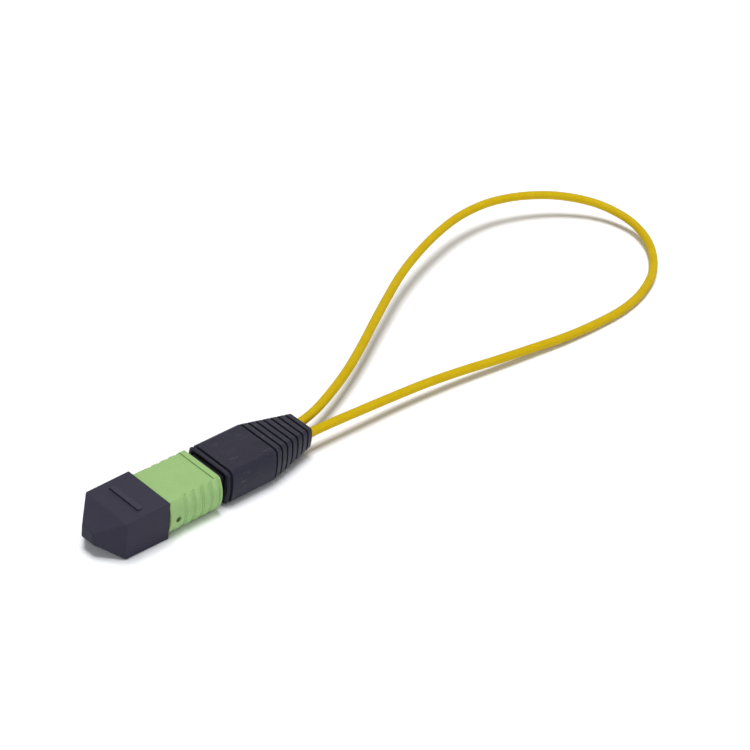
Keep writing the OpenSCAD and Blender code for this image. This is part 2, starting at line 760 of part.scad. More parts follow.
// A straight length of the boot, smaller by d all round
module boot_length(x0, x1, d) {
    along(x0, x1) polygon(crowned(boot_w - 2 * d, boot_h - 2 * d, boot_flat - 2 * d, boot_round));
}
module boot_slice(x, d) { boot_length(x, x + slice, d); }
module tail_slice(x, d) {
    along(x - slice, x) polygon(crowned(tail_w - 2 * d, tail_h - 2 * d, tail_flat - 2 * d, tail_round));
}

module loopback_boot() {
    color("#41414d") difference() {
        union() {
            // collar with a chamfered front
            hull() {
                boot_slice(boot_x, collar_edge);
                boot_slice(boot_x + collar_edge - slice, 0);
            }
            boot_length(boot_x + collar_edge, collar_end_x, 0);
            boot_length(collar_end_x - joined, body_x + joined, groove_in);
            boot_length(body_x, tail_x, 0);
            // tapering core of the tail, and the ribs round it
            hull() {
                boot_slice(tail_x - root, rib_depth);
                tail_slice(boot_end_x - last_rib_l / 2, rib_depth);
            }
            intersection() {
                hull() {
                    boot_slice(tail_x - root, taper_in);
                    tail_slice(boot_end_x, 0);
                }
                for (i = [1:rib_count]) block(
                    tail_x + (i - 1) * rib_pitch + rib_gap, i == rib_count ? boot_end_x + cut : tail_x + i * rib_pitch,
                    boot_w + cut, boot_h + cut);
            }
        }
        block(boot_x - cut, neck_end_x + loose_fit, neck_w + 2 * snug_fit, neck_h + 2 * snug_fit);
        along(neck_end_x, boot_room_end_x) oval(boot_room_w, boot_room_h);
        for (side = [-1, 1]) translate([boot_room_end_x - joined, side * leg_pitch / 2, 0]) rotate([0, 90, 0])
            cylinder(d = cord_bore_d, h = boot_end_x - boot_room_end_x + cut);
        // wider mouth, with a slot beside it in each narrow side's wall
        along(boot_x - cut, boot_x + mouth_l)
            cut_rectangle(neck_w + 2 * mouth_wall, boot_h - 2 * mouth_wall, mouth_corner);
        both_sides() along(boot_x - cut, boot_x + mouth_l) translate([slot_y + slot_w / 2, 0])
            square([slot_w, slot_h], center = true);
        // recesses for the snaps
        both_sides() along(snap_x - snap_l / 2, snap_x + snap_l / 2) translate([neck_w / 2 - root, -snap_h / 2])
            square([root + snap_out + loose_fit, snap_h]);
    }
}

module cord_loop() {
    color("#e0bd12") tube(smooth_line(route, route_steps), cord_d, cord_sides, [0, 0, 1]);
}

// Puts a part that is drawn about the axis into its place above the surface
module placed() {
    translate([-mid_x, 0, axis_z]) children();
}

placed() dust_cap();
placed() coupling_sleeve();
placed() coupling_spring_left();
placed() coupling_spring_right();
placed() inner_housing();
placed() ferrule();
placed() ferrule_epoxy();
placed() glass_fibres();
placed() fibre_ribbon();
placed() ferrule_boot();
placed() pin_keeper();
placed() main_spring();
placed() spring_push();
placed() fibre_bundle_left();
placed() fibre_bundle_right();
placed() aramid_left();
placed() aramid_right();
placed() crimp_ring();
placed() loopback_boot();
cord_loop();
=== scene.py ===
import math

import bmesh
import bpy
from mathutils import Matrix, Vector


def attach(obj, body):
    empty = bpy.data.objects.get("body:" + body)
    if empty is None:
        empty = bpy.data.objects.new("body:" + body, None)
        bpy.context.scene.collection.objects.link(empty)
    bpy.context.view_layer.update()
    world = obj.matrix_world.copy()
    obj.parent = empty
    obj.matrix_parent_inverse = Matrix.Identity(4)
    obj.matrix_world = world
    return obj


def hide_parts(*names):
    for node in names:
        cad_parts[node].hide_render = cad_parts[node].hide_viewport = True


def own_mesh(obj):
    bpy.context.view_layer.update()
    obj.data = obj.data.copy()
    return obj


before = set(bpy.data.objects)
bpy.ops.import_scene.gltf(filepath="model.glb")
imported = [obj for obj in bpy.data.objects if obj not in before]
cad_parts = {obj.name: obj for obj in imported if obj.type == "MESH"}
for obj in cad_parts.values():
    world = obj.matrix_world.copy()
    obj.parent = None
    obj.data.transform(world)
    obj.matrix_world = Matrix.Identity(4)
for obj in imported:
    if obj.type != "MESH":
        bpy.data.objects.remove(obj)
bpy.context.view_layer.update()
MM = 0.001

# ---- the plug's sizes, in mm, in the frame that the plug lies in ----

AXIS_Z = 4.35
BEYOND = 1  # how far a cutting shape runs past the face that it opens
WELD = 0.002  # vertices nearer to each other than this are one
CAP_TIP_X, CAP_FRONT_X, CAP_RIM_X = -27.3, -22.8, -12.3
CAP_W, CAP_H = 12.6, 8.7
CAP_DRAFT = 0.18
CAP_TIP_W, CAP_TIP_H = 3.2, 2.7
CAP_CAVITY_W, CAP_CAVITY_H, CAP_CAVITY_X = 10.4, 6.5, -20.5
CATCH_X, CATCH_L, CATCH_W, CATCH_H = -18.8, 1.6, 8.5, 0.39
GRIP_RIB_Y, GRIP_RIB_W, GRIP_RIB_H, GRIP_RIB_SHORT = 3.65, 0.6, 0.74, 0.8
KEYWAY_W, KEYWAY_H = 3.4, 3.7
SLEEVE_X, SLEEVE_END_X = -12.2, 0.8
SLEEVE_W, SLEEVE_H, SLEEVE_CROWN, SLEEVE_ROUND = 13.2, 7.8, 1.2, 0.28
SLEEVE_BORE_W, SLEEVE_BORE_H = 9.8, 5.9
SLEEVE_POCKET_X, SLEEVE_POCKET_END_X, SLEEVE_POCKET_W, SLEEVE_POCKET_H = -3.1, -0.6, 3.2, 6.5
LIP_L, LIP_W, LIP_H, LIP_NICK, LIP_NICK_L = 1.3, 10.2, 0.2, 0.14, 0.22
FLUTE_COUNT, FLUTE_PITCH, FIRST_FLUTE_X, FLUTE_TURN_R = 4, 2.17, -7.85, 7.3
GRIP_STEP, GRIP_PLACES = 0.07, 131
FLUTE_R, FLUTE_DEPTH = 1.3, 0.26
FINE_FLUTE_R, FINE_FLUTE_DEPTH, FINE_FLUTE_LEAD = 0.18, 0.30, 0.72
DEEP_LINE_R, DEEP_LINE_DEPTH, DEEP_LINE_LEAD = 0.16, 0.42, 0.12
EYELET_X, EYELET_Z, EYELET_D = -10.2, 3.85, 1.3
BOOT_X, BOOT_TAIL_X, BOOT_END_X = 2.5, 15.25, 27.3
BOOT_W, BOOT_H, BOOT_CROWN, BOOT_ROUND = 12.4, 7.7, 0.5, 0.85
COLLAR_EDGE, COLLAR_L, COLLAR_GROOVE_L, COLLAR_GROOVE_IN = 0.2, 0.7, 0.65, 0.55
COLLAR_SLOPE_L, COLLAR_SLOPE_W, COLLAR_BACK_L = 0.3, 0.45, 0.2
MOUTH_L, MOUTH_W, MOUTH_H, MOUTH_CORNER = 0.5, 10.1, 6.9, 0.6
NECK_ROOM_END_X, NECK_ROOM_W, NECK_ROOM_H = 5.3, 9.4, 5.5
SNAP_X, SNAP_END_X, SNAP_Y, SNAP_OUT_Y, SNAP_H = 4.2, 4.9, 4.3, 5.25, 2.1
SLOT_Y, SLOT_W, SLOT_H = 5.5, 0.3, 2.4
TAIL_W, TAIL_H = 7.2, 5.0
RIB_COUNT, RIB_GAP, RIB_DEPTH, LAST_RIB_L = 7, 0.5, 0.75, 1.15
BOOT_ROOM_X, BOOT_ROOM_END_X, BOOT_ROOM_W, BOOT_ROOM_H = 5.2, 14.7, 8.14, 4.94
SIDE_SPRING_X, SIDE_SPRING_Y, SIDE_SPRING_L, SIDE_SPRING_D, SIDE_WIRE = -8.1, 4.825, 6.2, 1.2, 0.25
SIDE_TURNS, SIDE_STEPS, SIDE_CHANNEL_D, SIDE_CHANNEL_OVER = 9, 28, 1.5, 0.1
MAIN_SPRING_X, MAIN_SPRING_L, MAIN_WIRE, MAIN_SPRING_R, MAIN_SPRING_HALF = -10.3, 6.6, 0.5, 1.3, 1.8
MAIN_TURNS, MAIN_STEPS = 5.5, 48
RIBBON_X, RIBBON_END_X, FIBRE_COUNT, FIBRE_PITCH, COATED_D = -15.0, -7.3, 12, 0.25, 0.24
BUNDLE_L, BUNDLE_Y, BUNDLE_R, BUNDLE_TWIST, BUNDLE_STEPS, BUNDLE_END = 18.0, 0.86, 0.27, 2.0, 16, 0.05
CORD_D, LEG_Y = 2.0, 1.75
CORD_BORE_X, CORD_BORE_END_X, CORD_BORE_D = 14, 30, 2.2

# ---- the camera, and then the cord ----

CAMERA_TARGET = Vector((53.83, 5.13, 4.0)) * MM
CAMERA_AZIMUTH, CAMERA_ELEVATION, CAMERA_ROLL = (math.radians(a) for a in (-48.43, 34.98, 7.06))
CAMERA_DISTANCE = 477.59 * MM
CAMERA_LENS = 108.59


def make_camera():
    """A long lens that looks down across the boot's narrow side, rolled a little."""
    a, e, r = CAMERA_AZIMUTH, CAMERA_ELEVATION, CAMERA_ROLL
    back = Vector((math.sin(a) * math.cos(e), -math.cos(a) * math.cos(e), math.sin(e)))
    right = Vector((math.cos(a), math.sin(a), 0))
    up = back.cross(right)
    across = right * math.cos(r) + up * math.sin(r)
    upward = up * math.cos(r) - right * math.sin(r)
    data = bpy.data.cameras.new("camera")
    data.sensor_width = 36
    data.lens = CAMERA_LENS
    data.clip_start, data.clip_end = 0.01, 10
    camera = bpy.data.objects.new("camera", data)
    camera.matrix_world = Matrix.Translation(CAMERA_TARGET + back * CAMERA_DISTANCE) @ Matrix(
        (across, upward, back)
    ).transposed().to_4x4()
    bpy.context.collection.objects.link(camera)
    bpy.context.scene.camera = camera


make_camera()

# The cord's line, as the plug's source has it: out of the boot, round the loop and back
ROUTE = [
    (10.7, 1.75, 4.35), (19, 1.75, 4.35), (27.3, 1.75, 4.35), (34, 3, 4.4), (41.5, 5.7, 4.5),
    (49.5, 9.2, 4.7), (58, 13.6, 5.1), (66.5, 18.4, 5.4), (75, 23.1, 5.7), (84, 27.8, 5.9),
    (93.5, 31.8, 6.1), (103.5, 35.1, 6.3), (113.5, 37.3, 6.3), (123.5, 37.5, 6.2), (133, 35.1, 5.9),
    (141.5, 30.5, 5.2), (148, 23.6, 4), (150.1, 14.8, 2.7), (146.9, 6.3, 1.8), (139.7, -0.8, 1.35),
    (131, -5.1, 1.1), (121.5, -7.3, 1.05), (111.5, -7.7, 1.15), (101.5, -7.3, 1.4), (91.5, -6.2, 1.8),
    (81.5, -5, 2.2), (71.5, -3.7, 2.7), (61.5, -2.8, 3.2), (52, -2.3, 3.5), (43, -2.1, 3.9),
    (35, -1.9, 4.2), (27.3, -1.75, 4.35), (19, -1.75, 4.35), (10.7, -1.75, 4.35),
]
ROUTE_STEPS = 8


def smooth_line(points, steps):
    """A smooth line through the points, with that many steps from each to the next."""
    points = [Vector(p) for p in points]
    line = []
    for i in range(len(points) - 1):
        a, b = points[max(i - 1, 0)], points[i]
        c, d = points[i + 1], points[min(i + 2, len(points) - 1)]
        for step in range(steps):
            t = step / steps
            bent = (2 * a - 5 * b + 4 * c - d) * t * t + (3 * b - 3 * c + d - a) * t**3
            line.append(0.5 * (2 * b + (c - a) * t + bent))
    return line + [points[-1]]


def deselect():
    bpy.ops.object.select_all(action="DESELECT")


def alone(piece):
    """Makes the piece the only one selected."""
    deselect()
    piece.select_set(True)
    bpy.context.view_layer.objects.active = piece


def swept(name, line, diameter, resolution=6):
    """A round wire or jacket along a line of points in mm."""
    curve = bpy.data.curves.new(name, "CURVE")
    curve.dimensions = "3D"
    curve.bevel_depth = diameter / 2 * MM
    curve.bevel_resolution = resolution
    curve.use_fill_caps = True
    spline = curve.splines.new("POLY")
    spline.points.add(len(line) - 1)
    for point, place in zip(spline.points, line):
        point.co = (*(Vector(place) * MM), 1)
    piece = bpy.data.objects.new(name, curve)
    bpy.context.collection.objects.link(piece)
    alone(piece)
    bpy.ops.object.convert(target="MESH")
    piece = bpy.context.object
    piece.name = piece.data.name = name
    return piece


def make_cord():
    """The yellow jacket, which leaves the boot and comes back into it."""
    line = smooth_line(ROUTE, ROUTE_STEPS)
    cord = swept("yellow_cord", line, CORD_D)
    bpy.ops.object.shade_smooth_by_angle(angle=math.radians(40))
    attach(cord, "plug")
    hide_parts("cord_loop")
    return cord


cord = make_cord()

# ---- modelling by hand: small helpers ----


def start(kind, name, **values):
    """Adds a primitive with its place in its mesh, and leaves it alone in the selection."""
    deselect()
    getattr(bpy.ops.mesh, f"primitive_{kind}_add")(**values)
    piece = bpy.context.object
    piece.name = piece.data.name = name
    bpy.ops.object.transform_apply(location=True, rotation=True, scale=True)
    return piece


def block(name, low, high):
    """A block from its low to its high corner, in mm."""
    middle = [(a + b) / 2 * MM for a, b in zip(low, high)]
    return start("cube", name, size=1, location=middle, scale=[(b - a) * MM for a, b in zip(low, high)])


def rod(name, diameter, begin, end, vertices=32):
    """A round rod from one point to another, in mm."""
    a, b = Vector(begin) * MM, Vector(end) * MM
    turn = (b - a).to_track_quat("Z", "Y").to_euler()
    return start(
        "cylinder", name, radius=diameter / 2 * MM, depth=(b - a).length, location=(a + b) / 2,
        rotation=turn, vertices=vertices,
    )


def edit(piece):
    alone(piece)
    bpy.ops.object.mode_set(mode="EDIT")


def leave():
    bpy.ops.object.mode_set(mode="OBJECT")


def pick(kind, test):
    """In edit mode, selects the vertices, edges or faces whose ends all pass the test, which gets mm."""
    bpy.ops.mesh.select_mode(type=kind)
    piece = bpy.context.edit_object
    mesh = bmesh.from_edit_mesh(piece.data)
    for parts in (mesh.verts, mesh.edges, mesh.faces):
        for part in parts:
            part.select = False
    for part in {"VERT": mesh.verts, "EDGE": mesh.edges, "FACE": mesh.faces}[kind]:
        ends = [part] if kind == "VERT" else part.verts
        if all(test(v.co / MM) for v in ends):
            part.select_set(True)
    mesh.select_flush_mode()
    bmesh.update_edit_mesh(piece.data)


def shift(x=0, y=0, z=0):
    bpy.ops.transform.translate(value=(x * MM, y * MM, z * MM))


def resize(y=1, z=1):
    """Scales what is selected about the plug's axis."""
    bpy.ops.transform.resize(value=(1, y, z), center_override=(0, 0, AXIS_Z * MM))


def extrude(x):
    bpy.ops.mesh.extrude_region_move(TRANSFORM_OT_translate={"value": (x * MM, 0, 0)})


def mend(piece):
    """Merges doubles and turns every face outwards."""
    edit(piece)
    bpy.ops.mesh.select_all(action="SELECT")
    bpy.ops.mesh.remove_doubles(threshold=WELD * MM)
    bpy.ops.mesh.normals_make_consistent(inside=False)
    leave()


def modify(piece, kind, **values):
    """Adds a modifier and applies it."""
    alone(piece)
    modifier = piece.modifiers.new(kind.lower(), kind)
    for name, value in values.items():
        setattr(modifier, name, value)
    bpy.ops.object.modifier_apply(modifier=modifier.name)


def bevel(piece, width, segments=3, angle=40):
    modify(
        piece, "BEVEL", width=width * MM, segments=segments, limit_method="ANGLE",
        angle_limit=math.radians(angle), miter_outer="MITER_ARC",
    )


def combine(piece, other, operation):
    """Cuts the other shape out of the piece or adds it, and deletes the other."""
    modify(piece, "BOOLEAN", object=other, operation=operation, solver="EXACT")
    bpy.data.objects.remove(other)


def clear_slivers(piece):
    """Merges what the cuts left too close together and dissolves faces without an area."""
    edit(piece)
    bpy.ops.mesh.select_all(action="SELECT")
    bpy.ops.mesh.remove_doubles(threshold=WELD * MM)
    bpy.ops.mesh.dissolve_degenerate(threshold=0.0005 * MM)
    leave()


def finish(piece, body, slot, material, *nodes, angle=30):
    """Shades the piece, gives it its material and places it on its body for these nodes."""
    alone(piece)
    bpy.ops.object.shade_smooth_by_angle(angle=math.radians(angle))
    modify(piece, "WEIGHTED_NORMAL", keep_sharp=True, weight=60)
    piece.data.materials.clear()
    piece.data.materials.append(material)
    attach(piece, body)
    if nodes:
        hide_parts(*nodes)
    return piece


def rows_of(vertices):
    """The heights above and below the axis at which a section's vertices lie, in mm, each named once."""
    rows = []
    for row in sorted(abs(v.co.z / MM - AXIS_Z) for v in vertices):
        if not rows or row - rows[-1] > 0.01:
            rows.append(row)
    return rows


def section(name, x, width, height, crown, corner, levels):
    """One cross section: a plane with rounded corners, spread level by level to crown its narrow sides."""
    half = width / 2 - crown
    piece = start("plane", name, size=1, location=(x * MM, 0, AXIS_Z * MM), rotation=(0, math.pi / 2, 0))
    edit(piece)
    bpy.ops.mesh.select_all(action="SELECT")
    bpy.ops.transform.resize(value=(1, 2 * half * MM, height * MM), center_override=(0, 0, AXIS_Z * MM))
    bpy.ops.mesh.select_mode(type="VERT")
    bpy.ops.mesh.bevel(offset=corner * MM, segments=5, affect="VERTICES", profile=0.5, clamp_overlap=False)
    side = height / 2 - corner
    pick("EDGE", lambda v: abs(abs(v.y) - half) < 0.01 and abs(v.z - AXIS_Z) < side + 0.02)
    bpy.ops.mesh.subdivide(number_cuts=levels)
    for row in rows_of(bmesh.from_edit_mesh(piece.data).verts):
        pick("VERT", lambda v: abs(abs(v.z - AXIS_Z) - row) < 0.005)
        resize(y=1 + crown * (1 - (2 * row / height) ** 2) / half)
    leave()
    return piece


def loft(piece, stations):
    """Extrudes the section from place to place along X; each has its share of the full width and height."""
    edit(piece)
    bpy.ops.mesh.select_mode(type="FACE")
    bpy.ops.mesh.select_all(action="SELECT")
    x, y, z = stations[0]
    resize(y=y, z=z)
    for next_x, next_y, next_z in stations[1:]:
        extrude(next_x - x)
        resize(y=next_y / y, z=next_z / z)
        x, y, z = next_x, next_y, next_z
    leave()
    mend(piece)
    return piece


# ---- materials ----


def linear(hex_colour):
    """An sRGB hex colour as linear red, green, blue and alpha."""
    parts = [int(hex_colour[i:i + 2], 16) / 255 for i in (1, 3, 5)]
    return (*(c / 12.92 if c <= 0.04045 else ((c + 0.055) / 1.055) ** 2.4 for c in parts), 1.0)


def add(tree, kind, inputs=None, **settings):
    """A node with its settings, and its inputs as values or as links from other nodes' outputs."""
    made = tree.nodes.new("ShaderNode" + kind)
    for name, value in settings.items():
        setattr(made, name, value)
    for socket, value in (inputs or {}).items():
        if isinstance(value, bpy.types.NodeSocket):
            tree.links.new(value, made.inputs[socket])
        else:
            made.inputs[socket].default_value = value
    return made


def new_material(name, **values):
    """A material with one Principled shader; returns it, its tree, the shader and object coordinates."""
    material = bpy.data.materials.new(name)
    material.use_nodes = True
    tree = material.node_tree
    shader = tree.nodes["Principled BSDF"]
    for socket, value in values.items():
        shader.inputs[socket.replace("_", " ")].default_value = value
    place = add(tree, "TexCoord").outputs["Object"]
    return material, tree, shader, place


def moulded(name, colour, shade, grain, relief, rough, patch=3.0, **values):
    """Moulded plastic: fine grain from the mould, slow patches of tone where it flowed, and uneven gloss.

    grain is the grain's width, relief its depth and patch the patches' width, in mm; rough is the range of
    roughness.
    """
    material, tree, shader, place = new_material(name, **values)
    fine = add(tree, "TexNoise", {"Vector": place, "Scale": 1 / (grain * MM), "Detail": 3.0,
                                  "Roughness": 0.6})
    slow = add(tree, "TexNoise", {"Vector": place, "Scale": 1 / (patch * MM), "Detail": 4.0,
                                  "Roughness": 0.65})
    both = add(tree, "Math", {0: fine.outputs["Fac"], 1: slow.outputs["Fac"]}, operation="ADD")
    share = add(tree, "MapRange", {"Value": both.outputs[0], "From Min": 0.75, "From Max": 1.25})
    tone = add(tree, "Mix", {0: share.outputs[0], 6: linear(colour), 7: linear(shade)}, data_type="RGBA")
    gloss = add(tree, "MapRange", {"Value": slow.outputs["Fac"], "From Min": 0.3, "From Max": 0.7,
                                   "To Min": rough[0], "To Max": rough[1]})
    bump = add(tree, "Bump", {"Height": fine.outputs["Fac"], "Distance": relief * MM, "Strength": 1.0})
    tree.links.new(tone.outputs[2], shader.inputs["Base Color"])
    tree.links.new(gloss.outputs[0], shader.inputs["Roughness"])
    tree.links.new(bump.outputs[0], shader.inputs["Normal"])
    return material


def add_scuffs(material, colour, length, width):
    """Short pale scuffs that lie slantwise in patches, as handling leaves them; length and width in mm."""
    tree = material.node_tree
    shader = tree.nodes["Principled BSDF"]
    place = add(tree, "TexCoord").outputs["Object"]
    turned = add(tree, "Mapping", {"Vector": place, "Rotation": (0, 0, math.radians(-24)),
                                   "Scale": (1 / (length * MM), 1 / (width * MM), 1 / (width * MM))})
    streaks = add(tree, "TexNoise", {"Vector": turned.outputs[0], "Scale": 1.0, "Detail": 2.0})
    patches = add(tree, "TexNoise", {"Vector": place, "Scale": 1 / (4.0 * MM), "Detail": 1.0})
    lines = add(tree, "MapRange", {"Value": streaks.outputs["Fac"], "From Min": 0.60, "From Max": 0.74})
    where = add(tree, "MapRange", {"Value": patches.outputs["Fac"], "From Min": 0.46, "From Max": 0.62})
    mask = add(tree, "Math", {0: lines.outputs[0], 1: where.outputs[0]}, operation="MULTIPLY")
    under = shader.inputs["Base Color"].links[0].from_socket
    scuffed = add(tree, "Mix", {0: mask.outputs[0], 6: under, 7: linear(colour)}, data_type="RGBA")
    tree.links.new(scuffed.outputs[2], shader.inputs["Base Color"])


# ABS from a spark-eroded mould: a dull, even charcoal. Its grain of 0.05 mm is drawn coarser, to show.
cap_plastic = moulded(
    "spark_eroded_abs_charcoal", "#32303e", "#363442", 0.22, 0.012, (0.40, 0.52), IOR=1.5,
    Specular_IOR_Level=0.1,
)
# PBT from a polished mould: smoother than the cap, with a soft sheen, slow patches of gloss and pale scuffs
boot_plastic = moulded(
    "moulded_pbt_black", "#2b2a36", "#302f3c", 0.30, 0.008, (0.28, 0.40), IOR=1.5, Specular_IOR_Level=0.1
)
add_scuffs(boot_plastic, "#5c5b68", 2.2, 0.18)
# Glass-filled PBT: black, with the faint mottle of its short fibres
housing_plastic = moulded(
    "glass_filled_pbt_black", "#15151a", "#1c1c22", 0.25, 0.010, (0.38, 0.55), IOR=1.54,
    Specular_IOR_Level=0.25,
)
# PBT in apple green from a polished mould: bright and even, with a satin face
sleeve_plastic = moulded(
    "moulded_pbt_apple_green", "#97bc78", "#92b671", 0.35, 0.006, (0.42, 0.54), IOR=1.52,
    Specular_IOR_Level=0.4,
)
# Plasticised PVC jacket, extruded: smooth and nearly dull, with the slight waviness of the die
cord_plastic = moulded(
    "extruded_pvc_yellow", "#d0b104", "#c6a700", 0.60, 0.010, (0.52, 0.64), IOR=1.5, Specular_IOR_Level=0.15
)
# Glass-filled PPS: a stony dark grey, lapped smooth, with pale specks where fibres end in the face
ferrule_plastic = moulded(
    "glass_filled_pps_grey", "#3a3b3e", "#4b4c4f", 0.12, 0.006, (0.30, 0.48), patch=0.8, IOR=1.6,
    Specular_IOR_Level=0.5,
)
# Glass-filled LCP: harder and greyer than the housing, with flow marks
keeper_plastic = moulded("glass_filled_lcp_black", "#2a2b30", "#36373c", 0.3, 0.010, (0.40, 0.55), IOR=1.6)
# Moulded silicone rubber: a soft, dull black that dust makes a little grey
rubber = moulded(
    "moulded_silicone_black", "#212125", "#2b2b30", 0.15, 0.015, (0.70, 0.85), patch=1.5, IOR=1.42
)
# Hard-drawn spring steel: bright wire with faint drawing lines and a straw tone
spring_steel = moulded(
    "drawn_spring_steel", "#b9b5aa", "#a39f97", 0.12, 0.003, (0.22, 0.38), patch=0.7, Metallic=1.0
)
# Nickel-plated brass, pressed: pale warm metal, satin from the press tool
crimp_metal = moulded(
    "pressed_nickel_plated_brass", "#c6c1b2", "#b3ae9f", 0.20, 0.006, (0.26, 0.40), patch=1.2, Metallic=1.0
)
# Heat-cured epoxy: amber and glassy, with a slightly sunken top
epoxy = moulded(
    "cured_epoxy_amber", "#c79a45", "#b98836", 0.30, 0.010, (0.16, 0.28), patch=1.0, IOR=1.55,
    Transmission_Weight=0.35,
)
# Fused silica, polished with the ferrule: clear, with a bright round end
glass = moulded(
    "polished_fused_silica", "#eaf2f4", "#dfeaee", 0.05, 0.0005, (0.02, 0.06), patch=0.3, IOR=1.46,
    Transmission_Weight=0.9,
)


def coated_fibres():
    """Acrylate-coated fibre: glossy and even, in the trade's twelve colours by its number in the ribbon."""
    material, tree, shader, place = new_material("acrylate_coated_fibre", IOR=1.5, Coat_Weight=0.3)
    number = add(tree, "UVMap", uv_map="fibre_number")
    parts = add(tree, "SeparateXYZ", {"Vector": number.outputs[0]})
    ramp = add(tree, "ValToRGB", {"Fac": parts.outputs[0]})
    colours = (
        "#2f6fb5", "#e0842c", "#3c9a4b", "#7d563a", "#7f8a93", "#eceae2",
        "#c2352f", "#26262a", "#e3c93a", "#7a4f9c", "#e79aa8", "#63b9c4",
    )
    stops = ramp.color_ramp
    stops.interpolation = "CONSTANT"
    while len(stops.elements) < len(colours):
        stops.elements.new(0.5)
    for i, colour in enumerate(colours):
        stops.elements[i].position = i / len(colours)
        stops.elements[i].color = linear(colour)
    slow = add(tree, "TexNoise", {"Vector": place, "Scale": 1 / (0.8 * MM), "Detail": 2.0})
    gloss = add(tree, "MapRange", {"Value": slow.outputs["Fac"], "To Min": 0.18, "To Max": 0.38})
    tree.links.new(ramp.outputs[0], shader.inputs["Base Color"])
    tree.links.new(gloss.outputs[0], shader.inputs["Roughness"])
    return material


def yarn():
    """Aramid yarn laid along the post: golden filaments in flat strands with a silky sheen."""
    material, tree, shader, place = new_material("laid_aramid_yarn", IOR=1.6, Sheen_Weight=0.4)
    # A filament is 0.012 mm thick and is drawn as strands of 0.15 mm, so that it shows
    along = add(tree, "Mapping", {"Vector": place,
                                  "Scale": (1 / (2.5 * MM), 1 / (0.15 * MM), 1 / (0.15 * MM))})
    strands = add(tree, "TexNoise", {"Vector": along.outputs[0], "Scale": 1.0, "Detail": 3.0})
    share = add(tree, "MapRange", {"Value": strands.outputs["Fac"], "From Min": 0.35, "From Max": 0.65})
    tone = add(tree, "Mix", {0: share.outputs[0], 6: linear("#b98f2f"), 7: linear("#e6c661")},
               data_type="RGBA")
    gloss = add(tree, "MapRange", {"Value": strands.outputs["Fac"], "To Min": 0.65, "To Max": 0.40})
    bump = add(tree, "Bump", {"Height": strands.outputs["Fac"], "Distance": 0.05 * MM, "Strength": 1.0})
    tree.links.new(tone.outputs[2], shader.inputs["Base Color"])
    tree.links.new(gloss.outputs[0], shader.inputs["Roughness"])
    tree.links.new(bump.outputs[0], shader.inputs["Normal"])
    return material


fibre_coating = coated_fibres()
aramid = yarn()

cord.data.materials.clear()
cord.data.materials.append(cord_plastic)

# ---- dust cap ----


def add_grip_rib(cap, y, z, width, height):
    """A rounded rib along the cap's inside, half of it in the wall, that grips the housing."""
    rib = block(
        "grip_rib", (CAP_CAVITY_X - 0.1, y - width / 2, z - height / 2),
        (CAP_RIM_X - GRIP_RIB_SHORT, y + width / 2, z + height / 2),
    )
    bevel(rib, 0.12, 3)
    combine(cap, rib, "UNION")


def make_cap():
    """A block whose front is pulled out into a nose, with a thumb catch on top, then hollowed."""
    half_w, half_h = CAP_W / 2, CAP_H / 2
    cap = block(
        "dust_cap_shell", (CAP_FRONT_X, -half_w, AXIS_Z - half_h), (CAP_RIM_X, half_w, AXIS_Z + half_h)
    )
    edit(cap)
    pick("FACE", lambda v: v.x < CAP_FRONT_X + 0.01)
    resize(y=1 - CAP_DRAFT / CAP_W, z=1 - CAP_DRAFT / CAP_H)
    extrude(CAP_TIP_X - CAP_FRONT_X)
    resize(y=CAP_TIP_W / (CAP_W - CAP_DRAFT), z=CAP_TIP_H / (CAP_H - CAP_DRAFT))
    leave()
    mend(cap)
    bevel(cap, 0.2, 3, 20)
    top = AXIS_Z + half_h
    catch = block(
        "catch", (CATCH_X, -CATCH_W / 2, top - 0.5), (CATCH_X + CATCH_L, CATCH_W / 2, top + CATCH_H)
    )
    edit(catch)
    pick("VERT", lambda v: v.x > CATCH_X + 0.01 and v.z > top)
    shift(z=-CATCH_H - 0.05)
    leave()
    bevel(catch, 0.04, 2, 20)
    combine(cap, catch, "UNION")
    half_w, half_h = CAP_CAVITY_W / 2, CAP_CAVITY_H / 2
    hollow = block(
        "hollow", (CAP_CAVITY_X, -half_w, AXIS_Z - half_h), (CAP_RIM_X + BEYOND, half_w, AXIS_Z + half_h)
    )
    bevel(hollow, 0.15, 2)
    combine(cap, hollow, "DIFFERENCE")
    for y in (-GRIP_RIB_Y, GRIP_RIB_Y):
        for z in (-half_h, half_h):
            add_grip_rib(cap, y, z + AXIS_Z, GRIP_RIB_W, GRIP_RIB_H)
    for y in (-half_w, half_w):
        add_grip_rib(cap, y, AXIS_Z, GRIP_RIB_H, GRIP_RIB_W)
    half_w = KEYWAY_W / 2
    keyway = block(
        "keyway", (CAP_CAVITY_X, -half_w, AXIS_Z), (CAP_RIM_X + BEYOND, half_w, AXIS_Z + KEYWAY_H)
    )
    combine(cap, keyway, "DIFFERENCE")
    return finish(cap, "cap", "cap_black", cap_plastic, "dust_cap", angle=32)


# ---- coupling sleeve ----


def fluted_side(x, z):
    """How far out the flutes leave the narrow side at this place along X and this height above the axis."""
    deepest = 0.0
    for first, radius, depth, count in (
        (FIRST_FLUTE_X, FLUTE_R, FLUTE_DEPTH, FLUTE_COUNT),
        (FIRST_FLUTE_X - FINE_FLUTE_LEAD, FINE_FLUTE_R, FINE_FLUTE_DEPTH, FLUTE_COUNT + 1),
        (FIRST_FLUTE_X - DEEP_LINE_LEAD, DEEP_LINE_R, DEEP_LINE_DEPTH, FLUTE_COUNT),
    ):
        for i in range(count):
            away = abs(x - first - i * FLUTE_PITCH)
            if away < radius:
                deepest = max(deepest, depth - radius + math.sqrt(radius**2 - away**2))
    return SLEEVE_W / 2 - FLUTE_TURN_R + math.sqrt((FLUTE_TURN_R - deepest) ** 2 - z**2)


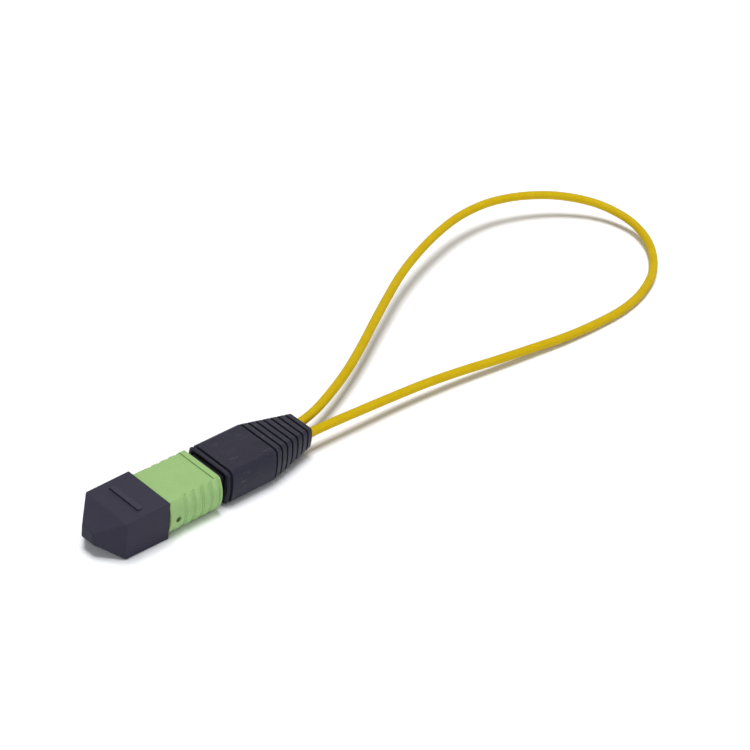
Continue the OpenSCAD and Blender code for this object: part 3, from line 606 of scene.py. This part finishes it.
def draw_out_fluted(piece, places):
    """Extrudes the section from place to place along X and draws its narrow sides in to the flutes."""
    edit(piece)
    bpy.ops.mesh.select_mode(type="VERT")
    bpy.ops.mesh.select_all(action="SELECT")
    ring = bmesh.from_edit_mesh(piece.data).verts
    full = {}
    for row in rows_of(ring):
        full[row] = max(abs(v.co.y / MM) for v in ring if abs(abs(v.co.z / MM - AXIS_Z) - row) < 0.005)
    held = dict(full)
    for x, next_x in zip(places, places[1:]):
        extrude(next_x - x)
        mesh = bmesh.from_edit_mesh(piece.data)
        ring = [v for v in mesh.verts if v.select]
        for row, widest in full.items():
            wanted = min(widest, fluted_side(next_x, row))
            if abs(wanted - held[row]) > 0.0005:
                for v in ring:
                    v.select_set(abs(abs(v.co.z / MM - AXIS_Z) - row) < 0.005)
                resize(y=wanted / held[row])
                held[row] = wanted
        for v in ring:
            v.select_set(True)
        mesh.select_flush(True)
    leave()


def make_sleeve():
    """A crowned section drawn out into a fluted grip, then bored and given its lip and its small holes."""
    sleeve = section("coupling_sleeve_shell", SLEEVE_X, SLEEVE_W, SLEEVE_H, SLEEVE_CROWN, SLEEVE_ROUND, 15)
    grip_x = FIRST_FLUTE_X - FINE_FLUTE_LEAD - FINE_FLUTE_R
    places = [SLEEVE_X] + [grip_x + GRIP_STEP * i for i in range(GRIP_PLACES)] + [SLEEVE_END_X]
    draw_out_fluted(sleeve, places)
    mend(sleeve)
    top, bottom = AXIS_Z + SLEEVE_H / 2, AXIS_Z - SLEEVE_H / 2
    lip_x = SLEEVE_END_X - LIP_L
    lip = block(
        "lip", (lip_x, -LIP_W / 2, bottom - LIP_H), (SLEEVE_END_X - 0.001, LIP_W / 2, top + LIP_H)
    )
    bevel(lip, 0.12, 4)
    combine(sleeve, lip, "UNION")
    for low, high in ((top - LIP_NICK, top + BEYOND), (bottom - BEYOND, bottom + LIP_NICK)):
        nick = block("nick", (lip_x - LIP_NICK_L, -LIP_W / 2, low), (lip_x + 0.02, LIP_W / 2, high))
        combine(sleeve, nick, "DIFFERENCE")
    bore = block(
        "bore", (SLEEVE_X - BEYOND, -SLEEVE_BORE_W / 2, AXIS_Z - SLEEVE_BORE_H / 2),
        (SLEEVE_END_X + BEYOND, SLEEVE_BORE_W / 2, AXIS_Z + SLEEVE_BORE_H / 2),
    )
    combine(sleeve, bore, "DIFFERENCE")
    pocket = block(
        "pocket", (SLEEVE_POCKET_X, -SLEEVE_POCKET_W / 2, AXIS_Z - SLEEVE_POCKET_H / 2),
        (SLEEVE_POCKET_END_X, SLEEVE_POCKET_W / 2, AXIS_Z + SLEEVE_POCKET_H / 2),
    )
    combine(sleeve, pocket, "DIFFERENCE")
    channel_end_x = SIDE_SPRING_X + SIDE_SPRING_L + SIDE_CHANNEL_OVER
    for side in (-1, 1):
        y = side * SIDE_SPRING_Y
        channel = rod("channel", SIDE_CHANNEL_D, (SIDE_SPRING_X, y, AXIS_Z), (channel_end_x, y, AXIS_Z))
        combine(sleeve, channel, "DIFFERENCE")
    eyelet = rod("eyelet", EYELET_D, (EYELET_X, -9, EYELET_Z), (EYELET_X, 9, EYELET_Z), 48)
    combine(sleeve, eyelet, "DIFFERENCE")
    return finish(sleeve, "sleeve", "sleeve_green", sleeve_plastic, "coupling_sleeve", angle=24)


# ---- boot ----


def boot_stations():
    """The boot's places along X, with the share of its full width and height at each."""
    def at(x, inset=0.0, side_inset=None):
        t = max(0.0, (x - BOOT_TAIL_X) / (BOOT_END_X - BOOT_TAIL_X))
        w = BOOT_W + (TAIL_W - BOOT_W) * t - 2 * (inset if side_inset is None else side_inset)
        h = BOOT_H + (TAIL_H - BOOT_H) * t - 2 * inset
        return x, w / BOOT_W, h / BOOT_H

    collar_end = BOOT_X + COLLAR_L
    body_x = collar_end + COLLAR_GROOVE_L
    edge_in = COLLAR_SLOPE_W * (1 - COLLAR_EDGE / COLLAR_SLOPE_L)
    stations = [
        at(BOOT_X, COLLAR_EDGE, COLLAR_SLOPE_W), at(BOOT_X + COLLAR_EDGE, 0, edge_in),
        at(BOOT_X + COLLAR_SLOPE_L), at(collar_end - COLLAR_BACK_L), at(collar_end, 0, COLLAR_GROOVE_IN),
        at(collar_end, COLLAR_GROOVE_IN), at(body_x, COLLAR_GROOVE_IN), at(body_x),
    ]
    pitch = (BOOT_END_X - BOOT_TAIL_X - LAST_RIB_L - RIB_GAP) / (RIB_COUNT - 1)
    for i in range(RIB_COUNT):
        x = BOOT_TAIL_X + i * pitch
        stations += [at(x), at(x, RIB_DEPTH), at(x + RIB_GAP, RIB_DEPTH), at(x + RIB_GAP)]
    return stations + [at(BOOT_END_X)]


def make_boot():
    """A rounded section drawn out through the collar, its groove and the body, and stepped down by ribs."""
    boot = section("loopback_boot_shell", BOOT_X, BOOT_W, BOOT_H, BOOT_CROWN, BOOT_ROUND, 11)
    loft(boot, boot_stations())
    bevel(boot, 0.16, 4, 50)
    half_w, half_h = MOUTH_W / 2, MOUTH_H / 2
    before_x, mouth_end_x = BOOT_X - BEYOND, BOOT_X + MOUTH_L
    mouth = block("mouth", (before_x, -half_w, AXIS_Z - half_h), (mouth_end_x, half_w, AXIS_Z + half_h))
    bevel(mouth, MOUTH_CORNER, 5)
    combine(boot, mouth, "DIFFERENCE")
    half_w, half_h = NECK_ROOM_W / 2, NECK_ROOM_H / 2
    neck = block("neck", (before_x, -half_w, AXIS_Z - half_h), (NECK_ROOM_END_X, half_w, AXIS_Z + half_h))
    combine(boot, neck, "DIFFERENCE")
    half_w, half_h = (BOOT_ROOM_W - BOOT_ROOM_H) / 2, BOOT_ROOM_H / 2
    room = block(
        "room", (BOOT_ROOM_X, -half_w, AXIS_Z - half_h), (BOOT_ROOM_END_X, half_w, AXIS_Z + half_h)
    )
    combine(boot, room, "DIFFERENCE")
    for side in (-1, 1):
        y = side * half_w
        room = rod("room", BOOT_ROOM_H, (BOOT_ROOM_X, y, AXIS_Z), (BOOT_ROOM_END_X, y, AXIS_Z), 64)
        combine(boot, room, "DIFFERENCE")
        low, high = sorted((side * SNAP_Y, side * SNAP_OUT_Y))
        recess = block(
            "recess", (SNAP_X, low, AXIS_Z - SNAP_H / 2), (SNAP_END_X, high, AXIS_Z + SNAP_H / 2)
        )
        combine(boot, recess, "DIFFERENCE")
        low, high = sorted((side * SLOT_Y, side * (SLOT_Y + SLOT_W)))
        slot = block("slot", (before_x, low, AXIS_Z - SLOT_H / 2), (mouth_end_x, high, AXIS_Z + SLOT_H / 2))
        bevel(slot, 0.15, 3)
        combine(boot, slot, "DIFFERENCE")
        y = side * LEG_Y
        bore = rod("bore", CORD_BORE_D, (CORD_BORE_X, y, AXIS_Z), (CORD_BORE_END_X, y, AXIS_Z), 48)
        combine(boot, bore, "DIFFERENCE")
    clear_slivers(boot)
    return finish(boot, "plug", "boot_black", boot_plastic, "loopback_boot", angle=32)


# ---- springs ----


def oval_point(half, r, share):
    """A point on an oval of two half rounds and two straights, at this share of its way round."""
    straight, bend = 2 * half, math.pi * r
    way = share * (2 * straight + 2 * bend)
    if way < straight:
        return half - way, r
    if way < straight + bend:
        turn = math.pi / 2 + (way - straight) / r
        return r * math.cos(turn) - half, r * math.sin(turn)
    if way < 2 * straight + bend:
        return way - 3 * half - bend, -r
    turn = 1.5 * math.pi + (way - 2 * straight - bend) / r
    return half + r * math.cos(turn), r * math.sin(turn)


def wound(x0, y0, length, wire, turns, steps, half, r):
    """The line of a spring: closed turns at both ends and open turns between them."""
    closed, rise = 0.75 / turns, 0.4 * wire
    opening = (length - wire - 2 * rise) / (1 - 2 * closed)
    line = []
    for i in range(round(turns * steps) + 1):
        share = i / round(turns * steps)
        if share < closed:
            x = rise * share / closed
        elif share > 1 - closed:
            x = length - wire - rise * (1 - share) / closed
        else:
            x = rise + opening * (share - closed)
        y, z = oval_point(half, r, share * turns % 1)
        line.append((x0 + wire / 2 + x, y0 + y, AXIS_Z + z))
    return line


def press(piece):
    """Gives the piece a mesh of its own; it does not press the piece along the plug."""
    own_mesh(piece)


def make_springs():
    """The oval main spring behind the ferrule, and the two coupling springs beside the housing."""
    line = wound(
        MAIN_SPRING_X, 0, MAIN_SPRING_L, MAIN_WIRE, MAIN_TURNS, MAIN_STEPS, MAIN_SPRING_HALF, MAIN_SPRING_R
    )
    spring = swept("main_spring_wire", line, MAIN_WIRE, 4)
    finish(spring, "plug", "spring_steel", spring_steel, "main_spring")
    press(spring)
    side_r = (SIDE_SPRING_D - SIDE_WIRE) / 2
    for name, side in (("coupling_spring_left", 1), ("coupling_spring_right", -1)):
        line = wound(
            SIDE_SPRING_X, side * SIDE_SPRING_Y, SIDE_SPRING_L, SIDE_WIRE, SIDE_TURNS, SIDE_STEPS, 0, side_r
        )
        spring = swept(name + "_wire", line, SIDE_WIRE, 3)
        finish(spring, "plug", "spring_steel", spring_steel, name)
        press(spring)


# ---- fibres ----


def coated_fibre(number, line):
    """One coated fibre along a line; its number in the ribbon is kept in its UV map for its colour."""
    fibre = swept("fibre", line, COATED_D, 2)
    for layer in list(fibre.data.uv_layers):
        fibre.data.uv_layers.remove(layer)
    layer = fibre.data.uv_layers.new(name="fibre_number")
    share = (number + 0.5) / FIBRE_COUNT
    layer.data.foreach_set("uv", [share, 0.5] * len(fibre.data.loops))
    return fibre


def join(name, pieces):
    alone(pieces[0])
    for piece in pieces:
        piece.select_set(True)
    bpy.ops.object.join()
    pieces[0].name = pieces[0].data.name = name
    return pieces[0]


def fibre_y(number):
    return (number - (FIBRE_COUNT - 1) / 2) * FIBRE_PITCH


def bundled_line(place, side):
    """The line of one of a leg's six fibres, from its place in the ribbon round the bundle to the cord."""
    start_x = RIBBON_END_X + BUNDLE_END
    line = [(start_x, side * BUNDLE_Y + (place - 2.5) * FIBRE_PITCH, AXIS_Z)]
    for step in range(1, BUNDLE_STEPS + 1):
        share = step / BUNDLE_STEPS
        ease = share * share * (3 - 2 * share)
        spread = BUNDLE_R * min(1.0, 4 * share)
        turned = math.radians(60 * place) + BUNDLE_TWIST * share
        y = (1 - ease) * side * BUNDLE_Y + ease * side * LEG_Y + spread * math.cos(turned)
        z = AXIS_Z + spread * math.sin(turned)
        line.append((start_x + (BUNDLE_L - 2 * BUNDLE_END) * share, y, z))
    return line


def make_fibres():
    """Twelve coated fibres side by side behind the ferrule, then six of them in a bundle for each leg."""
    lines = ([(x, fibre_y(i), AXIS_Z) for x in (RIBBON_X, RIBBON_END_X)] for i in range(FIBRE_COUNT))
    ribbon = join("coated_fibre_ribbon", [coated_fibre(i, line) for i, line in enumerate(lines)])
    finish(ribbon, "ferrule_group", "ribbon_coating", fibre_coating, "fibre_ribbon")
    half = FIBRE_COUNT // 2
    for name, side in (("fibre_bundle_left", 1), ("fibre_bundle_right", -1)):
        fibres = [coated_fibre(i + half if side > 0 else i, bundled_line(i, side)) for i in range(half)]
        bundle = join(name + "_fibres", fibres)
        finish(bundle, "plug", "ribbon_coating", fibre_coating, name)
        press(bundle)


# ---- the housing and what is in it ----


def softened(name, node, body, slot, material, width):
    """A copy of the node's solid with its doubles merged, its flat faces whole and its edges rounded."""
    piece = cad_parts[node].copy()
    piece.data = piece.data.copy()
    piece.parent = None
    for key in list(piece.keys()):
        del piece[key]
    bpy.context.collection.objects.link(piece)
    piece.name = piece.data.name = name
    alone(piece)
    bpy.ops.mesh.customdata_custom_splitnormals_clear()
    edit(piece)
    bpy.ops.mesh.select_all(action="SELECT")
    bpy.ops.mesh.remove_doubles(threshold=WELD * MM)
    bpy.ops.mesh.dissolve_limited(angle_limit=math.radians(0.5))
    bpy.ops.mesh.normals_make_consistent(inside=False)
    leave()
    bevel(piece, width, 2, 35)
    return finish(piece, body, slot, material, node, angle=35)


make_cap()
make_sleeve()
make_boot()
make_springs()
make_fibres()
softened("inner_housing_shell", "inner_housing", "plug", "housing_black", housing_plastic, 0.06)
softened("spring_push_body", "spring_push", "plug", "housing_black", housing_plastic, 0.06)
softened("ferrule_body", "ferrule", "ferrule_group", "ferrule_grey", ferrule_plastic, 0.03)
softened("ferrule_rear_boot", "ferrule_boot", "ferrule_group", "boot_rubber", rubber, 0.06)
softened("pin_keeper_plate", "pin_keeper", "ferrule_group", "keeper_plastic", keeper_plastic, 0.04)
softened("crimp_ring_sleeve", "crimp_ring", "plug", "crimp_metal", crimp_metal, 0.06)

# ---- the CAD's own pieces, in their materials ----

node_materials = {
    "ferrule_epoxy": epoxy,
    "glass_fibres": glass,
    "aramid_left": aramid,
    "aramid_right": aramid,
}
for name, material in node_materials.items():
    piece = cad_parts[name]
    piece.data.materials.clear()
    piece.data.materials.append(material)

# ---- the white surface and the light ----


def make_stage():
    """A white surface that keeps the object's shadow; the camera sees it a little lifted, as white."""
    floor = start("plane", "floor", size=6, location=(0, 0, -0.00002))
    material = bpy.data.materials.new("white_board")
    material.use_nodes = True
    tree = material.node_tree
    tree.nodes.clear()
    seen = add(tree, "LightPath")
    tone = add(tree, "Mix", {0: seen.outputs["Is Camera Ray"], 6: linear("#f6f8fd"),
                             7: (1.08, 1.09, 1.12, 1.0)}, data_type="RGBA")
    matt = add(tree, "BsdfDiffuse", {"Color": tone.outputs[2]})
    out = add(tree, "OutputMaterial")
    tree.links.new(matt.outputs[0], out.inputs["Surface"])
    floor.data.materials.append(material)


def make_lamp(name, energy, toward, size):
    """A lamp far off in the given direction; size is how wide it looks, in degrees."""
    data = bpy.data.lights.new(name, "SUN")
    data.energy = energy
    data.angle = math.radians(size)
    lamp = bpy.data.objects.new(name, data)
    lamp.rotation_euler = Vector(toward).to_track_quat("Z", "Y").to_euler()
    lamp.location = Vector(toward) * 0.5
    bpy.context.collection.objects.link(lamp)


def make_surround(level):
    """A surround that lights at a plain level and looks white."""
    world = bpy.data.worlds.new("white_surround")
    bpy.context.scene.world = world
    world.use_nodes = True
    tree = world.node_tree
    tree.nodes.clear()
    seen = add(tree, "LightPath")
    direct = add(tree, "Math", {0: seen.outputs["Is Camera Ray"], 1: seen.outputs["Is Transmission Ray"]},
                 operation="MAXIMUM")
    clear = add(tree, "Math", {0: direct.outputs[0], 1: seen.outputs["Is Glossy Ray"]}, operation="MAXIMUM")
    strength = add(tree, "MapRange", {"Value": clear.outputs[0], "To Min": level, "To Max": 1.0})
    glow = add(tree, "Background", {"Color": (1, 1, 1, 1), "Strength": strength.outputs[0]})
    out = add(tree, "OutputWorld")
    tree.links.new(glow.outputs[0], out.inputs["Surface"])


make_stage()
make_surround(0.16)
make_lamp("key_lamp", 2.4, (-0.01, 0.10, 1.0), 27)
make_lamp("fill_lamp", 0.76, (-0.15, -0.97, 0.13), 14)
make_lamp("left_lamp", 0.42, (-1.0, -0.45, 0.75), 50)
bpy.context.scene.view_settings.view_transform = "Standard"
